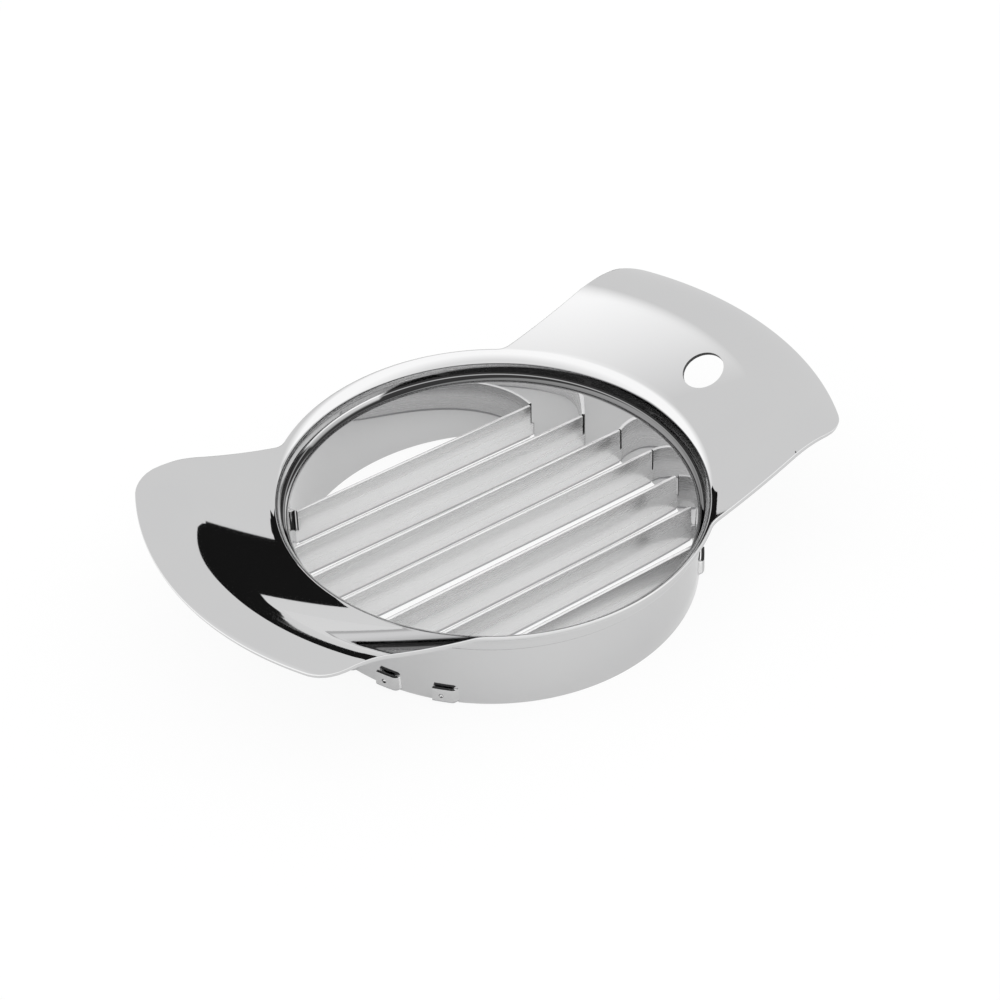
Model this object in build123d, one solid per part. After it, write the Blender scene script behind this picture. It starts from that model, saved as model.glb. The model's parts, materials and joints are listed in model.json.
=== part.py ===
from build123d import *
import math
import os

# A hand slicer for fruit: one pressed steel frame that carries a row of straight blades.
# Millimetres. Z is up and X runs along the blades. The origin is at the centre of the collar's lower edge,
# on the plane that the slicer rests on.

# Collar, the short tube that the slices drop through
sheet = 1.0
collar_bore = 100.0
collar_height = 17.2

# Bead turned outwards at the collar's top, the tight valley past it, and the neck that rises from the valley
bead_radius = 2.1
bead_turn = 70.0
valley_radius = 0.5
neck_rise = 0.95

# Flange rolled outwards from the neck, and its slope where it ends
flange_bend = 4.55
flange_slope = 22.7

# Wing handles: a dish that steepens outwards, then a lip that rolls over and down to the tip
wing_width = 85.6
wing_reach = 86.4
wing_steepening = 4.7
lip_run = 14.7
lip_droop = 19.5
tip_radius = 80.0
corner_radius = 9.4
root_fillet = 5.6

# Hanging hole in the wing on the +X side, punched square to the sheet
hole_diameter = 10.8
hole_reach = 65.3

# Blades, ground to an edge that is level with the collar's lower edge. The last one each side leaves at least
# the side gap
blade_pitch = 11.5
blade_side_gap = 12.0
blade_thickness = 0.8
blade_height = 10.6
blade_end_gap = 0.6
edge_height = 1.0
edge_land = 0.1

# Tabs at the blades' ends: each goes out through a slot in the collar and is bent back along its outside,
# with a punch mark on the bent part
tab_level = 0.5
tab_height = 4.0
tab_clearance = 0.1
fold_length = 4.9
punch_offset = 2.7
punch_radius = 0.6
punch_depth = 0.2

# Worked out from the sizes above
bore_radius = collar_bore / 2
wall_radius = bore_radius + sheet
wing_slope = flange_slope + wing_steepening
dish_reach = wing_reach - lip_run
blades_each_side = int((bore_radius - blade_side_gap) // blade_pitch)
blade_lines = [side * blade_pitch for side in range(blades_each_side, -blades_each_side - 1, -1)]


def sine(degrees):
    return math.sin(math.radians(degrees))


def cosine(degrees):
    return math.cos(math.radians(degrees))


# The flange ends where its bend ends, and the dish and the lip are arcs that meet the slopes given above
neck_radius = bore_radius + (bead_radius + valley_radius) * (1 - cosine(bead_turn))
flange_radius = neck_radius + flange_bend * (1 - sine(flange_slope))
flange_level = (
    collar_height + (bead_radius + valley_radius) * sine(bead_turn) + neck_rise + flange_bend * cosine(flange_slope)
)
dish_radius = (dish_reach - flange_radius) / (sine(wing_slope) - sine(flange_slope))
lip_radius = lip_run / (sine(wing_slope) + sine(lip_droop))
wing_top = (
    flange_level + dish_radius * (cosine(flange_slope) - cosine(wing_slope)) + lip_radius * (1 - cosine(wing_slope))
)


def carry_on(line, length):
    """A straight run that carries on from the end of a line."""
    return Line(line @ 1, line @ 1 + (line % 1) * length)


def bend(line, depth, radius, turn):
    """An arc that carries on from a line. A positive turn bends up, and its far face has the larger radius."""
    return JernArc(line @ 1, line % 1, radius + math.copysign(depth, turn), turn)


def sheet_face(depth):
    """One face of the sheet in section, at a depth under the upper face, from the foot to just past the tip."""
    wall = Line((bore_radius + depth, 0), (bore_radius + depth, collar_height))
    bead = bend(wall, depth, bead_radius, -bead_turn)
    valley = bend(bead, depth, valley_radius, bead_turn)
    neck = carry_on(valley, neck_rise)
    flange = bend(neck, depth, flange_bend, flange_slope - 90)
    dish = bend(flange, depth, dish_radius, wing_steepening)
    lip = bend(dish, depth, lip_radius, -wing_slope - lip_droop)
    past_tip = carry_on(lip, sheet)
    return Wire([wall, bead, valley, neck, flange, dish, lip, past_tip])


def sheet_quarters():
    """The pressing before it is trimmed, in quarters: collar, bead, neck, flange and a dish all round."""
    upper = sheet_face(0)
    lower = sheet_face(sheet)
    foot = Line(upper @ 0, lower @ 0)
    rim = Line(upper @ 1, lower @ 1)
    section = make_face(upper.edges() + lower.edges() + [foot, rim])
    quarter = revolve(Plane.XZ * section, Axis.Z, 90)
    return [Rot(0, 0, turn) * quarter for turn in (0, 90, 180, 270)]


def trim_volume():
    """What the trimming keeps: both wings, and a cone that cuts the flange's edge square to the sheet."""
    height = wing_top + sheet
    side = wing_width / 2
    corner = wing_reach - tip_radius + math.sqrt(tip_radius**2 - side**2)
    right_tip = ThreePointArc((corner, -side), (wing_reach, 0), (corner, side))
    left_tip = ThreePointArc((-corner, side), (-wing_reach, 0), (-corner, -side))
    back_side = Line(right_tip @ 1, left_tip @ 0)
    front_side = Line(left_tip @ 1, right_tip @ 0)
    plan = make_face([right_tip, back_side, left_tip, front_side])
    plan = fillet(plan.vertices(), corner_radius)
    wings = extrude(plan, amount=height)

    taper = sine(flange_slope) / cosine(flange_slope)
    foot_radius = flange_radius + flange_level * taper
    head_radius = flange_radius - (height - flange_level) * taper
    flange = Cone(foot_radius, head_radius, height, align=(Align.CENTER, Align.CENTER, Align.MIN))

    volume = wings + flange
    creases = volume.edges().filter_by(lambda edge: is_crease(edge, height))
    return fillet(creases, root_fillet)


def is_crease(edge, height):
    """True for the four edges where the flange's cone runs into the sides of the wings."""
    on_side = abs(abs(edge.center().Y) - wing_width / 2) < sheet
    rises = edge.bounding_box().size.Z > height - sheet
    near_flange = abs(edge.center().X) < flange_radius
    return on_side and rises and near_flange


def hanging_hole():
    """A round punch that stands square to the wing where the hole is."""
    slope = math.degrees(math.asin(sine(flange_slope) + (hole_reach - flange_radius) / dish_radius))
    level = flange_level + dish_radius * (cosine(flange_slope) - cosine(slope))
    across = Plane(origin=(hole_reach, 0, level), x_dir=(0, 1, 0), z_dir=(-sine(slope), 0, cosine(slope)))
    return across * Cylinder(hole_diameter / 2, 6 * sheet)


def slots():
    """Cuts that let each blade's tabs out through the collar, open at its lower edge."""
    length = 2 * (wall_radius + sheet)
    width = blade_thickness + 2 * tab_clearance
    height = tab_level + tab_height + tab_clearance
    slot = Box(length, width, height, align=(Align.CENTER, Align.CENTER, Align.MIN))
    return [Pos(0, line, 0) * slot for line in blade_lines]


def frame():
    """The frame: collar, flange and two wing handles. Its quarters are trimmed one by one, then joined."""
    volume = trim_volume()
    trimmed = [quarter & volume for quarter in sheet_quarters()]
    return trimmed[0] + trimmed[1:] - hanging_hole() - slots()


def blade_strip(half_length):
    """The blade between its tabs, ground from both sides to an edge along the bottom."""
    section = Polygon(
        (-blade_thickness / 2, blade_height),
        (-blade_thickness / 2, edge_height),
        (-edge_land / 2, 0),
        (edge_land / 2, 0),
        (blade_thickness / 2, edge_height),
        (blade_thickness / 2, blade_height),
        align=None,
    )
    return extrude(Plane.YZ * section, amount=half_length, both=True)


def tab(line, start):
    """The tab at a blade's +X end: straight out through the collar, then bent back along its outside."""
    inner = wall_radius + tab_clearance
    outer = inner + blade_thickness
    middle = (inner + outer) / 2
    exit_angle = math.degrees(math.asin(line / middle))
    fold_angle = math.degrees(fold_length / middle)

    straight = Pos(start, line) * Rectangle(outer, blade_thickness, align=(Align.MIN, Align.CENTER))
    straight = straight & Circle(outer)
    fold = trace(CenterArc((0, 0), middle, exit_angle, fold_angle), blade_thickness)
    profile = straight + fold
    front = line - blade_thickness / 2
    bend_corner = (math.sqrt(outer**2 - front**2), front, 0)
    profile = fillet(profile.vertices().sort_by_distance(bend_corner)[0], blade_thickness)

    punch_angle = exit_angle + math.degrees(punch_offset / middle)
    punch_reach = outer + punch_radius - punch_depth
    punch_place = (punch_reach * cosine(punch_angle), punch_reach * sine(punch_angle), tab_level + tab_height / 2)
    return Pos(0, 0, tab_level) * extrude(profile, amount=tab_height) - Pos(*punch_place) * Sphere(punch_radius)


def blade(line):
    """One blade with its two bent tabs, at its line across the collar."""
    half_length = math.sqrt(bore_radius**2 - (abs(line) + blade_thickness / 2) ** 2) - blade_end_gap
    strip = Pos(0, line, 0) * blade_strip(half_length)
    right_tab = tab(line, half_length)
    return strip + right_tab + mirror(right_tab, Plane.YZ)


os.makedirs("parts", exist_ok=True)
export_step(frame(), "parts/frame.step")
for number, line in enumerate(blade_lines, start=1):
    export_step(blade(line), f"parts/blade_{number}.step")
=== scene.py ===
import json
from math import asin, atan2, copysign, cos, hypot, pi, radians, sin, sqrt

import bmesh
import bpy
from mathutils import Matrix, Vector


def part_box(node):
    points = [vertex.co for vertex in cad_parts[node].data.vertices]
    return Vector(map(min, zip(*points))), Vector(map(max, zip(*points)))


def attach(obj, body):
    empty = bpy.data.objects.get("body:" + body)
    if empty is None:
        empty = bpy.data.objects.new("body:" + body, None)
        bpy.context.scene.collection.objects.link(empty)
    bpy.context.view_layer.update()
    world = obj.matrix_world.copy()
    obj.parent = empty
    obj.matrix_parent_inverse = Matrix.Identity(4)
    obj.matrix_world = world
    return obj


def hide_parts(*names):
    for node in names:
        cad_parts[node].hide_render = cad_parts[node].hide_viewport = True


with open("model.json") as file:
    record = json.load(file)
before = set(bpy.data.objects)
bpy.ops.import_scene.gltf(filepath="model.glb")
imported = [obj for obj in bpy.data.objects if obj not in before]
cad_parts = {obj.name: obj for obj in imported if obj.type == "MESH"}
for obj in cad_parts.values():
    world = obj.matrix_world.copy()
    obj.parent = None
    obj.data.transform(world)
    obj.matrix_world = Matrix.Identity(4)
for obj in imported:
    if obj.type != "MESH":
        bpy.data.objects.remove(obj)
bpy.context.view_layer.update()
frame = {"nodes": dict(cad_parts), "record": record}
mm = 0.001
zAxis = Vector((0, 0, 1))
print("frame loaded with", len(frame["nodes"]), "nodes")


# camera, near enough that the far wing looks smaller than the near one
cameraSetup = {
    "place": (-0.27015, -0.39265, 0.42105),
    "azimuth": radians(-34.73),
    "elevation": radians(40.12),
    "roll": radians(-1.118),
    "lens": 91.87,  # on a 36 mm sensor
    "clipStart": 0.01,
}


def addCamera(setup):
    camera = bpy.data.objects.new("viewCamera", bpy.data.cameras.new("viewCamera"))
    turn = Matrix.Rotation(setup["azimuth"], 4, "Z")
    tilt = Matrix.Rotation(pi / 2 - setup["elevation"], 4, "X")
    roll = Matrix.Rotation(setup["roll"], 4, "Z")
    camera.matrix_world = Matrix.Translation(setup["place"]) @ turn @ tilt @ roll
    camera.data.lens = setup["lens"]
    camera.data.clip_start = setup["clipStart"]
    bpy.context.scene.collection.objects.link(camera)
    bpy.context.scene.camera = camera


addCamera(cameraSetup)
bpy.context.scene.view_settings.view_transform = "Standard"
print("camera placed")


# helpers for the materials' nodes
evenly = (1, 1, 1)  # a noise that is drawn out in no direction
mixSockets = {"RGBA": (6, 7, 2), "FLOAT": (2, 3, 0)}  # both inputs and the output that a kind of mix uses


def newMaterial(name):
    material = bpy.data.materials.new(name)
    material.use_nodes = True
    tree = material.node_tree
    return material, tree, tree.nodes["Principled BSDF"]


def feed(tree, socket, value):
    # a socket takes either another node's output or a fixed value
    if isinstance(value, bpy.types.NodeSocket):
        tree.links.new(value, socket)
    else:
        socket.default_value = value


def addNode(tree, kind, settings=None, **inputs):
    node = tree.nodes.new(kind)
    for key, value in (settings or {}).items():
        setattr(node, key, value)
    for key, value in inputs.items():
        feed(tree, node.inputs[key.replace("_", " ")], value)
    return node


def calc(tree, operation, *values):
    node = addNode(tree, "ShaderNodeMath", {"operation": operation})
    for socket, value in zip(node.inputs, values):
        feed(tree, socket, value)
    return node.outputs[0]


def restOf(tree, share):
    return calc(tree, "SUBTRACT", 1.0, share)


def stepAt(tree, value, soft):
    # 0 below nought, 1 above it, soft between
    node = addNode(tree, "ShaderNodeMapRange", Value=value, From_Min=-soft, From_Max=soft)
    return node.outputs["Result"]


def rangeOf(tree, value, low, high):
    settings = {"interpolation_type": "SMOOTHSTEP"}
    node = addNode(tree, "ShaderNodeMapRange", settings, Value=value, To_Min=low, To_Max=high)
    return node.outputs["Result"]


def mixOf(tree, kind, factor, first, second, blend="MIX"):
    node = addNode(tree, "ShaderNodeMix", {"data_type": kind, "blend_type": blend}, Factor=factor)
    firstInput, secondInput, result = mixSockets[kind]
    feed(tree, node.inputs[firstInput], first)
    feed(tree, node.inputs[secondInput], second)
    return node.outputs[result]


def noiseOn(tree, stretch, scale, detail):
    # noise on the piece's own coordinates, drawn out by the stretch
    place = addNode(tree, "ShaderNodeTexCoord").outputs["Object"]
    mapped = addNode(tree, "ShaderNodeMapping", Vector=place, Scale=stretch).outputs["Vector"]
    return addNode(tree, "ShaderNodeTexNoise", Vector=mapped, Scale=scale, Detail=detail).outputs["Fac"]


def addBump(tree, shader, height, depth):
    bump = addNode(tree, "ShaderNodeBump", Strength=1.0, Distance=depth, Height=height)
    feed(tree, shader.inputs["Normal"], bump.outputs["Normal"])


polish = {
    "tone": (0.60, 0.60, 0.60, 1),
    "hazeTone": (0.57, 0.57, 0.575, 1),  # where the polish is a little tired
    "roughness": (0.012, 0.03),
    "hazeScale": 38,  # patches about 25 mm across
    "hazeDetail": 4,
    "rippleScale": 55,
    "rippleDetail": 2,
    "rippleDepth": 0.0006 * mm,
    # painted shade in the groove past the bead and painted reflection of dark surroundings on the roll
    # above it, by bearing: lower and upper edge in mm, and the share of light left under it
    "paintedGrooveBands": [(-45, 19.1, 21.2, 0.3), (-30, 19.1, 22.8, 0.3), (5, 19.0, 22.7, 0.3),
               (40, 18.6, 21.5, 0.3), (82, 18.1, 20.4, 0.3), (90, 18.1, 18.9, 0.3),
               (118, 18.3, 18.95, 0.3), (142, 18.9, 22.1, 0.9), (200, 19.1, 21.2, 0.9)],
    "paintedDimFrom": 17.4 * mm,  # height where the painted dimmer part under the groove starts
    "paintedGrooveShare": 0.04,  # light that comes back out of the groove
    "paintedHighlightLine": 19.07 * mm,  # height of the thin painted highlight along the crest in it
    "paintedHighlightHalf": 0.06 * mm,
    "paintedHighlightShare": 0.45,
    # how far each edge fades to either side
    "paintedGrooveSoft": {"lower": 0.08 * mm, "upper": 0.25 * mm, "from": 0.2 * mm, "line": 0.03 * mm},
}
paintedGrooveScale = (17.0 * mm, 24.0 * mm)  # heights that the painted shade's edges are kept between


def paintedGrooveEdges(tree, place, bands):
    # lower and upper edge of the painted shade, the share of light left under it at each point's bearing,
    # and the point's height
    split = addNode(tree, "ShaderNodeSeparateXYZ", Vector=place).outputs
    bearing = calc(tree, "ARCTAN2", split["Y"], split["X"])
    along = addNode(tree, "ShaderNodeMapRange", Value=bearing, From_Min=-pi, From_Max=pi)
    ramp = addNode(tree, "ShaderNodeValToRGB", Fac=along.outputs["Result"])
    stops = ramp.color_ramp.elements
    while len(stops) < len(bands):
        stops.new(0.5)
    low, high = paintedGrooveScale
    ordered = sorted((((turn + 180) % 360) / 360, lower, upper, share)
                     for turn, lower, upper, share in bands)
    for stop, (position, lower, upper, share) in zip(stops, ordered):
        stop.position = position
        stop.color = ((lower * mm - low) / (high - low), (upper * mm - low) / (high - low), share, 1)
    parts = addNode(tree, "ShaderNodeSeparateColor", Color=ramp.outputs["Color"]).outputs
    edges = []
    for channel in ("Red", "Green"):
        edge = addNode(tree, "ShaderNodeMapRange", Value=parts[channel], To_Min=low, To_Max=high)
        edges.append(edge.outputs["Result"])
    return *edges, parts["Blue"], split["Z"]


def paintedGrooveShade(tree, values):
    # share of the tone left on the rim by painted shade, painted reflection and a painted highlight line,
    # and a mask for the face that looks in towards the axis
    soft = values["paintedGrooveSoft"]
    place = addNode(tree, "ShaderNodeTexCoord").outputs["Object"]
    lower, upper, under, height = paintedGrooveEdges(tree, place, values["paintedGrooveBands"])
    overLower = stepAt(tree, calc(tree, "SUBTRACT", height, lower), soft["lower"])
    underUpper = stepAt(tree, calc(tree, "SUBTRACT", upper, height), soft["upper"])
    onRim = stepAt(tree, calc(tree, "SUBTRACT", height, values["paintedDimFrom"]), soft["from"])
    inside = calc(tree, "MULTIPLY", overLower, underUpper)
    dimmed = calc(tree, "MULTIPLY", onRim, restOf(tree, overLower))
    share = restOf(tree, calc(tree, "MULTIPLY", dimmed, restOf(tree, under)))
    share = calc(tree, "SUBTRACT", share, calc(tree, "MULTIPLY", inside, 1.0 - values["paintedGrooveShare"]))
    offLine = calc(tree, "ABSOLUTE", calc(tree, "SUBTRACT", height, values["paintedHighlightLine"]))
    onLine = stepAt(tree, calc(tree, "SUBTRACT", values["paintedHighlightHalf"], offLine), soft["line"])
    share = calc(tree, "MAXIMUM", share, calc(tree, "MULTIPLY", onLine, values["paintedHighlightShare"]))
    outwards = addNode(tree, "ShaderNodeVectorMath", {"operation": "MULTIPLY"}, Vector=place)
    feed(tree, outwards.inputs[1], (1, 1, 0))
    normal = addNode(tree, "ShaderNodeTexCoord").outputs["Normal"]
    facing = addNode(tree, "ShaderNodeVectorMath", {"operation": "DOT_PRODUCT"},
                     Vector=outwards.outputs[0])
    feed(tree, facing.inputs[1], normal)
    return share, calc(tree, "LESS_THAN", facing.outputs["Value"], 0.0)


def polishedSteel(values):
    material, tree, shader = newMaterial("polishedSteel")
    haze = noiseOn(tree, evenly, values["hazeScale"], values["hazeDetail"])
    tone = mixOf(tree, "RGBA", haze, values["tone"], values["hazeTone"])
    # painted shade, painted reflection and a painted highlight are multiplied into the tone of the face
    # that looks in towards the axis
    shade, inner = paintedGrooveShade(tree, values)
    feed(tree, shader.inputs["Base Color"], mixOf(tree, "RGBA", inner, tone, shade, "MULTIPLY"))
    feed(tree, shader.inputs["Roughness"], rangeOf(tree, haze, *values["roughness"]))
    ripple = noiseOn(tree, evenly, values["rippleScale"], values["rippleDetail"])
    addBump(tree, shader, ripple, values["rippleDepth"])
    shader.inputs["Metallic"].default_value = 1.0
    return material


rolled = {
    "tone": (0.82, 0.82, 0.82, 1),
    # darker tone on the ground lower edge is painted shade of the shadowed floor it mirrors; its rougher
    # finish is the grinding's own
    "groundShadeTone": (0.5, 0.5, 0.51, 1),
    "metallic": 0.8,
    "roughness": (0.22, 0.3),
    "groundRoughness": 0.4,
    "grainStretch": (14, 14, 2600),  # rolling lines run along the strip
    "grainScale": 1.0,
    "grainDetail": 3,
    "grainDepth": 0.0002 * mm,
    "groundHeight": 1.05 * mm,
    "groundFade": 0.85,  # share of the ground height where it starts to fade
}
# the tabs, burnished where they were bent over
burnished = {**rolled, "tone": (0.6, 0.6, 0.6, 1), "metallic": 1.0, "roughness": (0.1, 0.16)}


def rolledSteel(name, values):
    material, tree, shader = newMaterial(name)
    grain = noiseOn(tree, values["grainStretch"], values["grainScale"], values["grainDetail"])
    place = addNode(tree, "ShaderNodeTexCoord").outputs["Object"]
    height = addNode(tree, "ShaderNodeSeparateXYZ", Vector=place).outputs["Z"]
    fadeStart = values["groundFade"] * values["groundHeight"]
    ground = addNode(tree, "ShaderNodeMapRange", Value=height, From_Min=fadeStart,
                     From_Max=values["groundHeight"], To_Min=1.0, To_Max=0.0).outputs["Result"]
    # painted shade along the lower edge, below the ground height
    tone = mixOf(tree, "RGBA", ground, values["tone"], values["groundShadeTone"])
    smooth = rangeOf(tree, grain, *values["roughness"])
    feed(tree, shader.inputs["Base Color"], tone)
    feed(tree, shader.inputs["Roughness"], mixOf(tree, "FLOAT", ground, smooth, values["groundRoughness"]))
    addBump(tree, shader, grain, values["grainDepth"])
    shader.inputs["Metallic"].default_value = values["metallic"]
    return material


# near-black painted shade for the cut edges, standing in for the gaps beside the blade ends, the hollow
# under the tabs and the dark hole wall
shearedShade = {
    "tone": (0.035, 0.035, 0.035, 1),
    "brightTone": (0.09, 0.09, 0.09, 1),
    "roughness": 0.42,
    "tearStretch": (1, 1, 0.3),
    "tearScale": 3200,  # tears about a third of a mm apart
    "tearDetail": 3,
    "tearDepth": 0.02 * mm,
}


def shearedEdgeShade(values):
    # cut edges painted near black as painted shade of the gaps and hollows beside them; their torn bump and
    # roughness are the cut's own
    material, tree, shader = newMaterial("shearedEdgeShade")
    tears = noiseOn(tree, values["tearStretch"], values["tearScale"], values["tearDetail"])
    tone = mixOf(tree, "RGBA", tears, values["tone"], values["brightTone"])
    feed(tree, shader.inputs["Base Color"], tone)
    addBump(tree, shader, tears, values["tearDepth"])
    shader.inputs["Roughness"].default_value = values["roughness"]
    shader.inputs["Metallic"].default_value = 1.0
    return material


frameSteel = polishedSteel(polish)
bladeSteel = rolledSteel("rolledSteel", rolled)
tabSteel = rolledSteel("burnishedSteel", burnished)
edgeShadeSteel = shearedEdgeShade(shearedShade)
print("materials made")


# helpers for the pieces
sharpAngle = radians(45)  # edges that turn by more than this stay crisp in the shading


def meshOf(bm, name):
    mesh = bpy.data.meshes.new(name)
    bm.to_mesh(mesh)
    bm.free()
    piece = bpy.data.objects.new(name, mesh)
    bpy.context.scene.collection.objects.link(piece)
    return piece


def cutAway(piece, cutter):
    # takes the cutter out of the piece for good, and removes the cutter
    modifier = piece.modifiers.new("cut", "BOOLEAN")
    modifier.operation = "DIFFERENCE"
    modifier.solver = "EXACT"
    modifier.object = cutter
    bpy.context.view_layer.update()
    shown = piece.evaluated_get(bpy.context.evaluated_depsgraph_get())
    piece.data = bpy.data.meshes.new_from_object(shown)
    piece.modifiers.clear()
    bpy.data.objects.remove(cutter)


def dress(piece, material, node):
    piece.data.materials.clear()
    piece.data.materials.append(material)
    piece.data.shade_smooth()
    piece.data.set_sharp_from_angle(angle=sharpAngle)
    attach(piece, "root")
    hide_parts(node)


def finishFaces(piece, material, isFinished):
    # gives the faces that pass the test, by their place and normal, a material of their own
    piece.data.materials.append(material)
    number = len(piece.data.materials) - 1
    for face in piece.data.polygons:
        if isFinished(face.center, face.normal):
            face.material_index = number


# the pressed frame. Its section is followed from the collar's foot, over the bead, up the neck and out
# to the tip
holeMount = next(m for m in frame["record"]["mounts"] if m["name"] == "hanging_hole")
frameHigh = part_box("frame")[1]
pressing = {
    "sheet": 1.0 * mm,
    "bore": 50.0 * mm,
    "collar": 17.2 * mm,
    "bead": (2.1 * mm, radians(-70)),  # radius of the upper face and turn, down is negative
    "valley": (0.5 * mm, radians(70)),
    "neck": 0.95 * mm,
    "flange": (4.55 * mm, radians(-67.3)),
    "dishTurn": radians(4.7),
    "lipRun": 14.7 * mm,
    "lipTurn": radians(-46.9),
    "wingWidth": 85.6 * mm,
    "tipRadius": 80.0 * mm,
    "cornerRadius": 9.4 * mm,
    "rootFillet": 5.6 * mm,
    "edgeRound": 0.18 * mm,
    "edgeSteps": 3,
    "slotTop": 4.6 * mm,
    "slotWidth": 1.0 * mm,
    "holeSides": 96,
    "holeMargin": 0.1 * mm,  # how far past the hole's radius its wall is looked for
    "holeFacing": 0.3,  # the most that a wall face's normal points along the hole
    "columns": 420,
    "runRows": (1, 14, 8, 1, 13),  # rows on the collar, bead, valley, neck and flange
    "wingRows": 30,
    "halvings": 40,
}
sheet = pressing["sheet"]
wallOutside = pressing["bore"] + sheet
cutterDepth = 6 * sheet  # passes through the sheet at any slope


def pressRuns(p):
    # each run of the section as its length and its turn
    bends = [p["bead"], p["valley"], p["flange"]]
    lengths = [abs(radius * turn) for radius, turn in bends]
    runs = [(p["collar"], 0), (lengths[0], bends[0][1]), (lengths[1], bends[1][1]), (p["neck"], 0),
            (lengths[2], bends[2][1])]
    flangeReach = sectionAt(runs, sum(length for length, turn in runs))[0].x
    slope = pi / 2 + sum(turn for length, turn in runs)
    wingSlope = slope + p["dishTurn"]
    dishReach = frameHigh.x - p["lipRun"]
    dishRadius = (dishReach - flangeReach) / (sin(wingSlope) - sin(slope))
    lipRadius = p["lipRun"] / (sin(wingSlope) - sin(wingSlope + p["lipTurn"]))
    runs.append((dishRadius * p["dishTurn"], p["dishTurn"]))
    runs.append((lipRadius * -p["lipTurn"], p["lipTurn"]))
    return runs, flangeReach


def sectionAt(runs, distance):
    # point on the upper face, and the heading there, at a distance along the section
    point = Vector((pressing["bore"], 0, 0))
    heading = pi / 2
    for length, turn in runs:
        step = min(distance, length)
        swing = turn * step / length
        if turn:
            radius = length / turn
            point.x += radius * (sin(heading + swing) - sin(heading))
            point.z -= radius * (cos(heading + swing) - cos(heading))
        else:
            point.x += step * cos(heading)
            point.z += step * sin(heading)
        heading += swing
        distance -= step
        if distance <= 0:
            break
    return point, heading


runs, flangeReach = pressRuns(pressing)
roundRuns = runs[:len(pressing["runRows"])]  # the runs that go all the way round
wingStart = sum(length for length, turn in roundRuns)
sectionEnd = sum(length for length, turn in runs)


def distanceAt(reach):
    # how far along the section the sheet comes to a given reach from the centre
    low, high = wingStart - sheet, sectionEnd
    for _ in range(pressing["halvings"]):
        middle = (low + high) / 2
        if sectionAt(runs, middle)[0].x < reach:
            low = middle
        else:
            high = middle
    return low


def outlineReach(angle, p):
    # plan outline of flange and wings: tip arc, corner arc, straight side, root fillet, then the flange
    side = p["wingWidth"] / 2
    ray = Vector((abs(cos(angle)), abs(sin(angle))))
    tipCentre = frameHigh.x - p["tipRadius"]
    tip = Vector((tipCentre, 0))
    cornerY = side - p["cornerRadius"]
    cornerX = tipCentre + sqrt((p["tipRadius"] - p["cornerRadius"]) ** 2 - cornerY**2)
    corner = Vector((cornerX, cornerY))
    filletY = side + p["rootFillet"]
    fillet = Vector((sqrt((flangeReach + p["rootFillet"]) ** 2 - filletY**2), filletY))
    tipTangent = tip + (corner - tip).normalized() * p["tipRadius"]
    slant = atan2(ray.y, ray.x)
    if slant >= atan2(fillet.y, fillet.x):
        return flangeReach
    if slant >= atan2(side, fillet.x):
        along = fillet.dot(ray)
        return along - sqrt(max(0, along**2 - fillet.length_squared + p["rootFillet"] ** 2))
    if slant >= atan2(side, cornerX):
        return side / ray.y
    centre, radius = tip, p["tipRadius"]
    if slant >= atan2(tipTangent.y, tipTangent.x):
        centre, radius = corner, p["cornerRadius"]
    along = centre.dot(ray)
    return along + sqrt(along**2 - centre.length_squared + radius**2)


def sheetStrip(p):
    # the sheet's section laid out flat, X along it and Z through its thickness, with rounded corners
    bm = bmesh.new()
    away = 2 * p["bore"]  # keeps the strip off the spin's axis
    ends = [(away, 0), (away + sectionEnd, 0), (away + sectionEnd, -sheet), (away, -sheet)]
    corners = [bm.verts.new((x, 0, z)) for x, z in ends]
    for first, second in zip(corners, corners[1:] + corners[:1]):
        bm.edges.new((first, second))
    bmesh.ops.bevel(bm, geom=corners, offset=p["edgeRound"], segments=p["edgeSteps"], profile=0.5,
                    affect="VERTICES", material=-1)
    cuts = [p["slotTop"] + sheet / 2, p["collar"] / 2]
    start = 0
    for (length, turn), rows in zip(roundRuns, p["runRows"]):
        cuts += [start + length * row / rows for row in range(1, rows + 1)]
        start += length
    wingLength = sectionEnd - wingStart - 2 * p["edgeRound"]
    cuts += [wingStart + wingLength * row / p["wingRows"] for row in range(1, p["wingRows"] + 1)]
    for cut in cuts:
        bmesh.ops.bisect_plane(bm, geom=bm.verts[:] + bm.edges[:], plane_co=(away + cut, 0, 0),
                               plane_no=(1, 0, 0), dist=1e-7)
    return bm, away


def wrapSheet(bm, away, p):
    # takes the flat spun strip to its pressed shape, and ends it on the outline
    rimLength = 2 * p["edgeRound"]
    ends = {}
    for vert in bm.verts:
        flat = hypot(vert.co.x, vert.co.y) - away
        angle = atan2(vert.co.y, vert.co.x)
        key = round(angle, 5)  # one end for all the points of a column
        if key not in ends:
            ends[key] = distanceAt(outlineReach(angle, p))
        end = ends[key]
        if flat > sectionEnd - rimLength:
            flat = end - (sectionEnd - flat)
        elif flat > wingStart - sheet:
            share = (flat - wingStart + sheet) / (sectionEnd - rimLength - wingStart + sheet)
            flat = wingStart - sheet + share * (end - rimLength - wingStart + sheet)
        point, heading = sectionAt(runs, flat)
        depth = -vert.co.z
        reach = point.x + depth * sin(heading)
        vert.co = (reach * cos(angle), reach * sin(angle), point.z - depth * cos(heading))


def pressedSheet(p):
    bm, away = sheetStrip(p)
    bmesh.ops.spin(bm, geom=bm.verts[:] + bm.edges[:], cent=(0, 0, 0), axis=(0, 0, 1), angle=2 * pi,
                   steps=p["columns"], use_merge=True)
    wrapSheet(bm, away, p)
    bmesh.ops.recalc_face_normals(bm, faces=bm.faces)
    return bm


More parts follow.
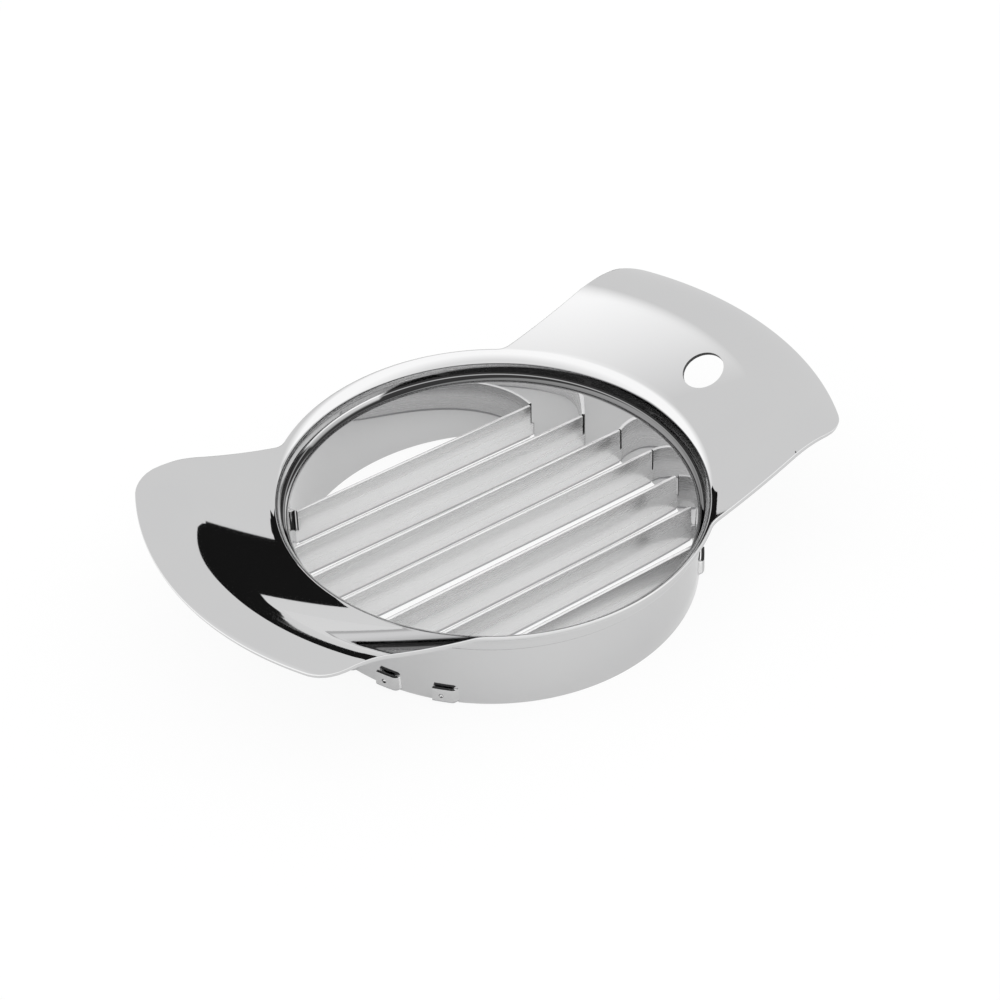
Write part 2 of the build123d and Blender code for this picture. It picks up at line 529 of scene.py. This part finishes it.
def holeCutter():
    bm = bmesh.new()
    radius = holeMount["dims"]["r_mm"] * mm
    bmesh.ops.create_cone(bm, cap_ends=True, segments=pressing["holeSides"], radius1=radius,
                          radius2=radius, depth=cutterDepth)
    turn = zAxis.rotation_difference(Vector(holeMount["axis"])).to_matrix().to_4x4()
    bm.transform(Matrix.Translation(holeMount["pos_m"]) @ turn)
    return meshOf(bm, "holeCutter")


def isHoleWall(place, normal):
    axis = Vector(holeMount["axis"])
    away = place - Vector(holeMount["pos_m"])
    away -= axis * away.dot(axis)
    isNear = away.length < holeMount["dims"]["r_mm"] * mm + pressing["holeMargin"]
    return isNear and abs(normal.dot(axis)) < pressing["holeFacing"]


# the blades, each with the small differences with which it sits in its slots
strip = {
    "thickness": 0.8 * mm,
    "height": 10.6 * mm,
    "endGap": 0.15 * mm,
    "edgeHeight": 1.0 * mm,
    "edgeLand": 0.12,  # share of the thickness left at the cutting edge
    "spans": 24,
    "round": 0.07 * mm,
    "roundSteps": 2,
    "roundAngle": radians(60),  # edges that turn by more than this are rounded
    "endHold": 0.6,  # share of a lean that the tabs hold back at the ends
    "endFacing": 0.9,  # the least that the normal of an end face points along X
}
tab = {
    "low": 0.5 * mm,
    "high": 4.5 * mm,
    "clearance": 0.03 * mm,
    "fold": 4.9 * mm,
    "bendInside": 0.25 * mm,
    "bendSteps": 10,
    "foldSteps": 8,
    "endMargin": 0.01 * mm,  # how far inside the blade's end its end faces are looked for
    "punchPlace": 2.7 * mm,
    "punchRadius": 0.6 * mm,
    "punchDepth": 0.2 * mm,
    "punchDetail": 3,
    "edgeFacing": 0.7,  # the least that the normal of an upper or lower edge points along Z
    "endFacing": 0.8,  # the least that the normal of the tab's own end points round the collar
}
seats = {  # shift across and lean of the lower edge, both mm, and turn in plan, degrees
    "blade_1": {"shift": -0.2, "turn": 0.0, "lean": 0.0},
    "blade_2": {"shift": -0.2, "turn": -0.2, "lean": 0.2},
    "blade_3": {"shift": 0.3, "turn": 0.5, "lean": 0.8},
    "blade_4": {"shift": 0.35, "turn": 0.43, "lean": 0.5},
    "blade_5": {"shift": -0.1, "turn": 0.76, "lean": 1.7},
    "blade_6": {"shift": -0.3, "turn": 1.0, "lean": 1.5},
    "blade_7": {"shift": -0.55, "turn": 0.95, "lean": 0.9},
}


def bladeLine(name):
    # where the blade's upper edge crosses the centre, and how its place changes along X
    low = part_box(name)[0]
    seat = seats[name]
    return low.y + strip["thickness"] / 2 + seat["shift"] * mm, radians(seat["turn"])


def endLine(name, side):
    # across place of the blade's end on one side of the collar
    line, turn = bladeLine(name)
    half = sqrt(pressing["bore"] ** 2 - line**2)
    return line + side * half * turn


def tabMiddle():
    return wallOutside + tab["clearance"] + strip["thickness"] / 2


def growTab(bm, name, side, half):
    # out through the slot, round the bend, and back along the collar's outside
    line = endLine(name, side)
    bend = tab["bendInside"] + strip["thickness"] / 2
    ends = []
    for face in bm.faces:
        middle = face.calc_center_median()
        if middle.x * side > half - tab["endMargin"] and tab["low"] < middle.z < tab["high"]:
            ends.append(face)
    exitAngle = asin((line + bend) / (tabMiddle() - bend))
    bendX = (tabMiddle() - bend) * cos(exitAngle)
    grown = bmesh.ops.extrude_face_region(bm, geom=ends)["geom"]
    moved = [v for v in grown if isinstance(v, bmesh.types.BMVert)]
    for vert in moved:
        vert.co.x = side * bendX
    turned = bmesh.ops.spin(bm, geom=grown, cent=(side * bendX, line + bend, 0), axis=(0, 0, side),
                            angle=pi / 2 + exitAngle, steps=tab["bendSteps"])["geom_last"]
    tipAngle = asin(line / tabMiddle()) + tab["fold"] / tabMiddle()
    bmesh.ops.spin(bm, geom=turned, cent=(0, 0, 0), axis=(0, 0, side), angle=tipAngle - exitAngle,
                   steps=tab["foldSteps"])


def seatBlade(bm, name, half):
    # bends the straight strip into the way it sits
    turn = bladeLine(name)[1]
    lean = seats[name]["lean"] * mm
    for vert in bm.verts:
        along = min(1, abs(vert.co.x) / half)
        hold = 1 - strip["endHold"] * along**4
        drop = 1 - vert.co.z / strip["height"]
        vert.co.y += vert.co.x * turn - lean * hold * drop


def cutLoop(bm, place, normal):
    # an edge loop where a plane crosses the body
    bmesh.ops.bisect_plane(bm, geom=bm.verts[:] + bm.edges[:] + bm.faces[:], plane_co=place,
                           plane_no=normal)


def bladeBody(name):
    line = bladeLine(name)[0]
    thickness = strip["thickness"]
    half = sqrt(pressing["bore"] ** 2 - (abs(line) + thickness / 2) ** 2) - strip["endGap"]
    bm = bmesh.new()
    bmesh.ops.create_cube(bm, size=1)
    bmesh.ops.scale(bm, vec=(2 * half, thickness, strip["height"]), verts=bm.verts)
    bmesh.ops.translate(bm, vec=(0, line, strip["height"] / 2), verts=bm.verts)
    for level in (tab["low"], strip["edgeHeight"], tab["high"]):
        cutLoop(bm, (0, 0, level), (0, 0, 1))
    for span in range(1, strip["spans"]):
        cutLoop(bm, (half * (2 * span / strip["spans"] - 1), 0, 0), (1, 0, 0))
    for vert in bm.verts:
        rise = min(1, vert.co.z / strip["edgeHeight"])
        vert.co.y = line + (vert.co.y - line) * (strip["edgeLand"] + (1 - strip["edgeLand"]) * rise)
    seatBlade(bm, name, half)
    for side in (1, -1):
        growTab(bm, name, side, half)
    bmesh.ops.recalc_face_normals(bm, faces=bm.faces)
    corners = [edge for edge in bm.edges
               if len(edge.link_faces) == 2 and edge.calc_face_angle() > strip["roundAngle"]]
    bmesh.ops.bevel(bm, geom=corners, offset=strip["round"], segments=strip["roundSteps"], profile=0.5,
                    affect="EDGES", clamp_overlap=False, material=-1)
    return bm


def punchCutter(name):
    bm = bmesh.new()
    reach = tabMiddle() + strip["thickness"] / 2 + tab["punchRadius"] - tab["punchDepth"]
    for side in (1, -1):
        angle = asin(endLine(name, side) / tabMiddle()) + tab["punchPlace"] / tabMiddle()
        place = Vector((side * reach * cos(angle), reach * sin(angle), (tab["low"] + tab["high"]) / 2))
        bmesh.ops.create_icosphere(bm, subdivisions=tab["punchDetail"], radius=tab["punchRadius"],
                                   matrix=Matrix.Translation(place))
    return meshOf(bm, "punchCutter")


def isOutside(place, normal):
    return hypot(place.x, place.y) > wallOutside


def isCutEnd(place, normal):
    # the strip's ends, the upper and lower edges of the tabs, and the tabs' own ends, all towards +Y, which
    # take the painted edge shade
    if not isOutside(place, normal):
        return abs(normal.x) > strip["endFacing"]
    tangent = Vector((-place.y, place.x, 0)).normalized() * copysign(1, place.x)
    return abs(normal.z) > tab["edgeFacing"] or normal.dot(tangent) > tab["endFacing"]


def slotCutter():
    bm = bmesh.new()
    height = pressing["slotTop"] + sheet
    middle = pressing["slotTop"] / 2 - sheet / 2
    for name in seats:
        for side in (1, -1):
            line = endLine(name, side)
            place = Vector((side * sqrt(wallOutside**2 - line**2), line, middle))
            cube = bmesh.ops.create_cube(bm, size=1)["verts"]
            bmesh.ops.scale(bm, vec=(cutterDepth, pressing["slotWidth"], height), verts=cube)
            bmesh.ops.translate(bm, vec=place, verts=cube)
    return meshOf(bm, "slotCutter")


pressed = meshOf(pressedSheet(pressing), "pressedFrame")
cutAway(pressed, holeCutter())
cutAway(pressed, slotCutter())
dress(pressed, frameSteel, "frame")
# the hanging hole's wall takes the near-black painted edge shade
finishFaces(pressed, edgeShadeSteel, isHoleWall)
print("frame pressed:", len(pressed.data.polygons), "faces")

for name in seats:
    piece = meshOf(bladeBody(name), name.replace("blade_", "slicingBlade"))
    cutAway(piece, punchCutter(name))
    dress(piece, bladeSteel, name)
    finishFaces(piece, tabSteel, isOutside)
    # the cut ends and the tabs' edges take the near-black painted edge shade
    finishFaces(piece, edgeShadeSteel, isCutEnd)
print("blades seated:", len(seats))


# studio: white floor, air that is brightest in a ring round a softer middle, and three dark cards
studio = {
    "floorSize": 30.0,
    "floorDrop": 0.02 * mm,  # keeps the floor just clear of the collar's foot
    "floorTone": (0.78, 0.78, 0.78, 1),
    "floorGrain": (900, 3),  # scale and detail
    "floorRoughness": (0.85, 0.95),
    "floorGlow": {"Is Camera Ray": 0.9, "Is Transmission Ray": 0.9, "Is Glossy Ray": 0.5},
    # strength by the angle from the middle, in degrees
    "air": {"azimuth": radians(50), "elevation": radians(28),
            "strengths": [(0, 1.0), (43, 1.0), (60, 1.6), (90, 1.6), (130, 1.2), (180, 1.2)]},
    "cardTone": 0.012,
    # each card stands upright at a bearing and a distance in mm. Its corners are across places and heights
    "cards": {
        "tallCard": (50, 240, [(-22, 40), (-22, 127), (-7, 113), (10, 140), (30, 163), (50, 186),
                               (63, 201), (68, 200), (56, 172), (42, 135), (33, 88), (28, 48)]),
        "lowCard": (50, 240, [(56, 25), (56, 100), (67, 135), (74, 145), (97, 157), (118, 134),
                              (137, 108), (150, 90), (165, 74), (165, 25)]),
        "nearCard": (0, 100, [(84, 24), (88, 33), (97, 52), (98, 62), (101, 75), (106, 90), (118, 98),
                              (126, 94), (131, 80), (131, 40), (128, 24)]),
    },
}


def addCard(name, material, corners, bearing, distance):
    # a card that stands behind the slicer and shows only in what the steel mirrors
    bm = bmesh.new()
    outwards = Vector((cos(bearing), sin(bearing), 0))
    sideways = Vector((-sin(bearing), cos(bearing), 0))
    places = [(outwards * distance + sideways * across + zAxis * height) * mm
              for across, height in corners]
    bm.faces.new([bm.verts.new(place) for place in places])
    card = meshOf(bm, name)
    card.data.materials.append(material)
    card.visible_camera = False
    card.visible_diffuse = False
    card.visible_shadow = False
    card.visible_transmission = False


def darkMaterial(values):
    material = bpy.data.materials.new("darkCard")
    material.use_nodes = True
    tree = material.node_tree
    tree.nodes.clear()
    glow = addNode(tree, "ShaderNodeEmission", Strength=values["cardTone"])
    addNode(tree, "ShaderNodeOutputMaterial", Surface=glow.outputs[0])
    return material


def floorMaterial(values):
    # white card that glows a little for what looks at it, and still takes the shadow
    material, tree, shader = newMaterial("floorCard")
    grain = noiseOn(tree, evenly, *values["floorGrain"])
    shader.inputs["Base Color"].default_value = values["floorTone"]
    feed(tree, shader.inputs["Roughness"], rangeOf(tree, grain, *values["floorRoughness"]))
    path = addNode(tree, "ShaderNodeLightPath").outputs
    share = 0.0
    for ray, amount in values["floorGlow"].items():
        share = calc(tree, "MAXIMUM", share, calc(tree, "MULTIPLY", path[ray], amount))
    glow = addNode(tree, "ShaderNodeEmission", Strength=1.0)
    mix = addNode(tree, "ShaderNodeMixShader", Fac=share)
    feed(tree, mix.inputs[1], shader.outputs[0])
    feed(tree, mix.inputs[2], glow.outputs[0])
    feed(tree, tree.nodes["Material Output"].inputs["Surface"], mix.outputs[0])
    return material


def airAround(air):
    # white air whose brightness follows the angle from its middle
    world = bpy.data.worlds.new("studioAir")
    bpy.context.scene.world = world
    world.use_nodes = True
    tree = world.node_tree
    way = addNode(tree, "ShaderNodeTexCoord").outputs["Generated"]
    near = addNode(tree, "ShaderNodeVectorMath", {"operation": "DOT_PRODUCT"}, Vector=way)
    flat = cos(air["elevation"])
    middle = (flat * cos(air["azimuth"]), flat * sin(air["azimuth"]), sin(air["elevation"]))
    feed(tree, near.inputs[1], middle)
    angle = calc(tree, "ARCCOSINE", near.outputs["Value"])
    strength = air["strengths"][0][1]
    for (start, before), (end, after) in zip(air["strengths"], air["strengths"][1:]):
        if before != after:
            change = addNode(tree, "ShaderNodeMapRange", Value=angle, From_Min=radians(start),
                             From_Max=radians(end), To_Max=after - before).outputs["Result"]
            strength = calc(tree, "ADD", strength, change)
    background = tree.nodes["Background"]
    background.inputs["Color"].default_value = (1, 1, 1, 1)
    feed(tree, background.inputs["Strength"], strength)


def buildStudio(values):
    bm = bmesh.new()
    bmesh.ops.create_grid(bm, x_segments=1, y_segments=1, size=values["floorSize"] / 2)
    floor = meshOf(bm, "floor")
    floor.location.z = -values["floorDrop"]
    floor.data.materials.append(floorMaterial(values))
    black = darkMaterial(values)
    for name, (bearing, distance, corners) in values["cards"].items():
        addCard(name, black, corners, radians(bearing), distance)
    airAround(values["air"])


buildStudio(studio)
print("studio lit")
